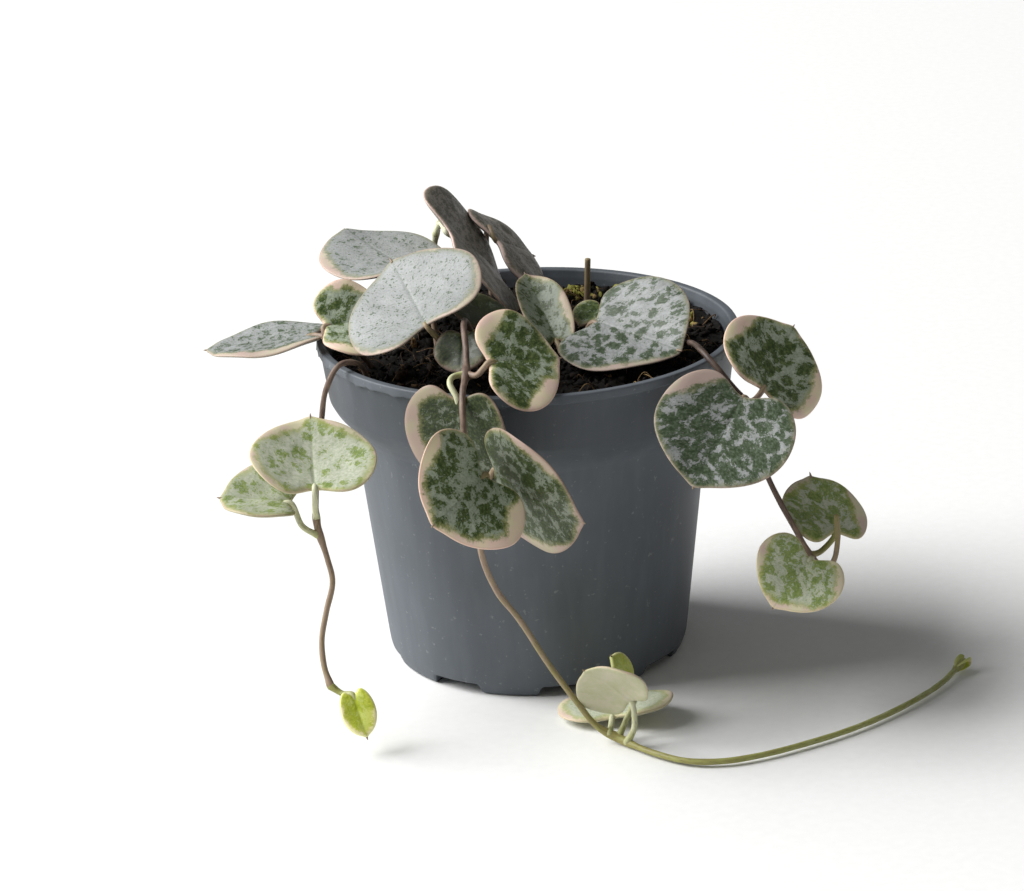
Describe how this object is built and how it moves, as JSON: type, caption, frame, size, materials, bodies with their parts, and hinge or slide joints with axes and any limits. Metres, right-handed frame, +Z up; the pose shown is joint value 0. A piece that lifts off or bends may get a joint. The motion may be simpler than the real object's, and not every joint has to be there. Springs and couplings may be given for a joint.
{
  "type": "potted string of hearts",
  "caption": "Trailing succulent with heart-shaped silver-mottled, pink-edged leaves on thin vines, growing in a small round plastic nursery pot.",
  "frame": {"origin": "on the ground under the middle of the plant's footprint", "axes": "+Z up, +X to the right along the longest extent, towards the growing tip of the trailing vine, -Y to the front, where two vines hang over the rim"},
  "size_m": [0.1064, 0.0796, 0.0649],
  "materials": {
    "pot_plastic": "matte injection-moulded polypropylene, blue-grey",
    "peat": "loose dark brown peat with fibres",
    "brown_stem": "dull brown woody stem",
    "olive_stem": "dull olive-green stem",
    "silver_leaf": "satin silver-grey leaf with small dark green flecks",
    "green_leaf": "satin dark green leaf with silver veining and a cream-pink margin",
    "cream_leaf": "satin pale cream-green leaf with a pink margin",
    "young_leaf": "satin yellow-green young leaf"
  },
  "bodies": {
    "root": {"pot": "pot_plastic", "potting_soil": "peat", "vine_left": "brown_stem", "vine_front": "olive_stem", "vine_right": "brown_stem", "vine_rear": "olive_stem", "vine_side": "brown_stem", "cut_stub": "brown_stem", "leaf_01": "silver_leaf", "leaf_02": "silver_leaf", "leaf_03": "silver_leaf", "leaf_04": "green_leaf", "leaf_05": "green_leaf", "leaf_06": "green_leaf", "leaf_07": "green_leaf", "leaf_08": "green_leaf", "leaf_09": "green_leaf", "leaf_10": "green_leaf", "leaf_11": "silver_leaf", "leaf_12": "green_leaf", "leaf_13": "green_leaf", "leaf_14": "green_leaf", "leaf_15": "green_leaf", "leaf_16": "cream_leaf", "leaf_17": "cream_leaf", "leaf_18": "young_leaf", "leaf_19": "green_leaf", "leaf_20": "silver_leaf", "leaf_21": "green_leaf", "leaf_22": "cream_leaf", "leaf_23": "cream_leaf", "leaf_24": "cream_leaf", "leaf_25": "young_leaf", "bud_trailing": "young_leaf"}
  },
  "joints": []
}
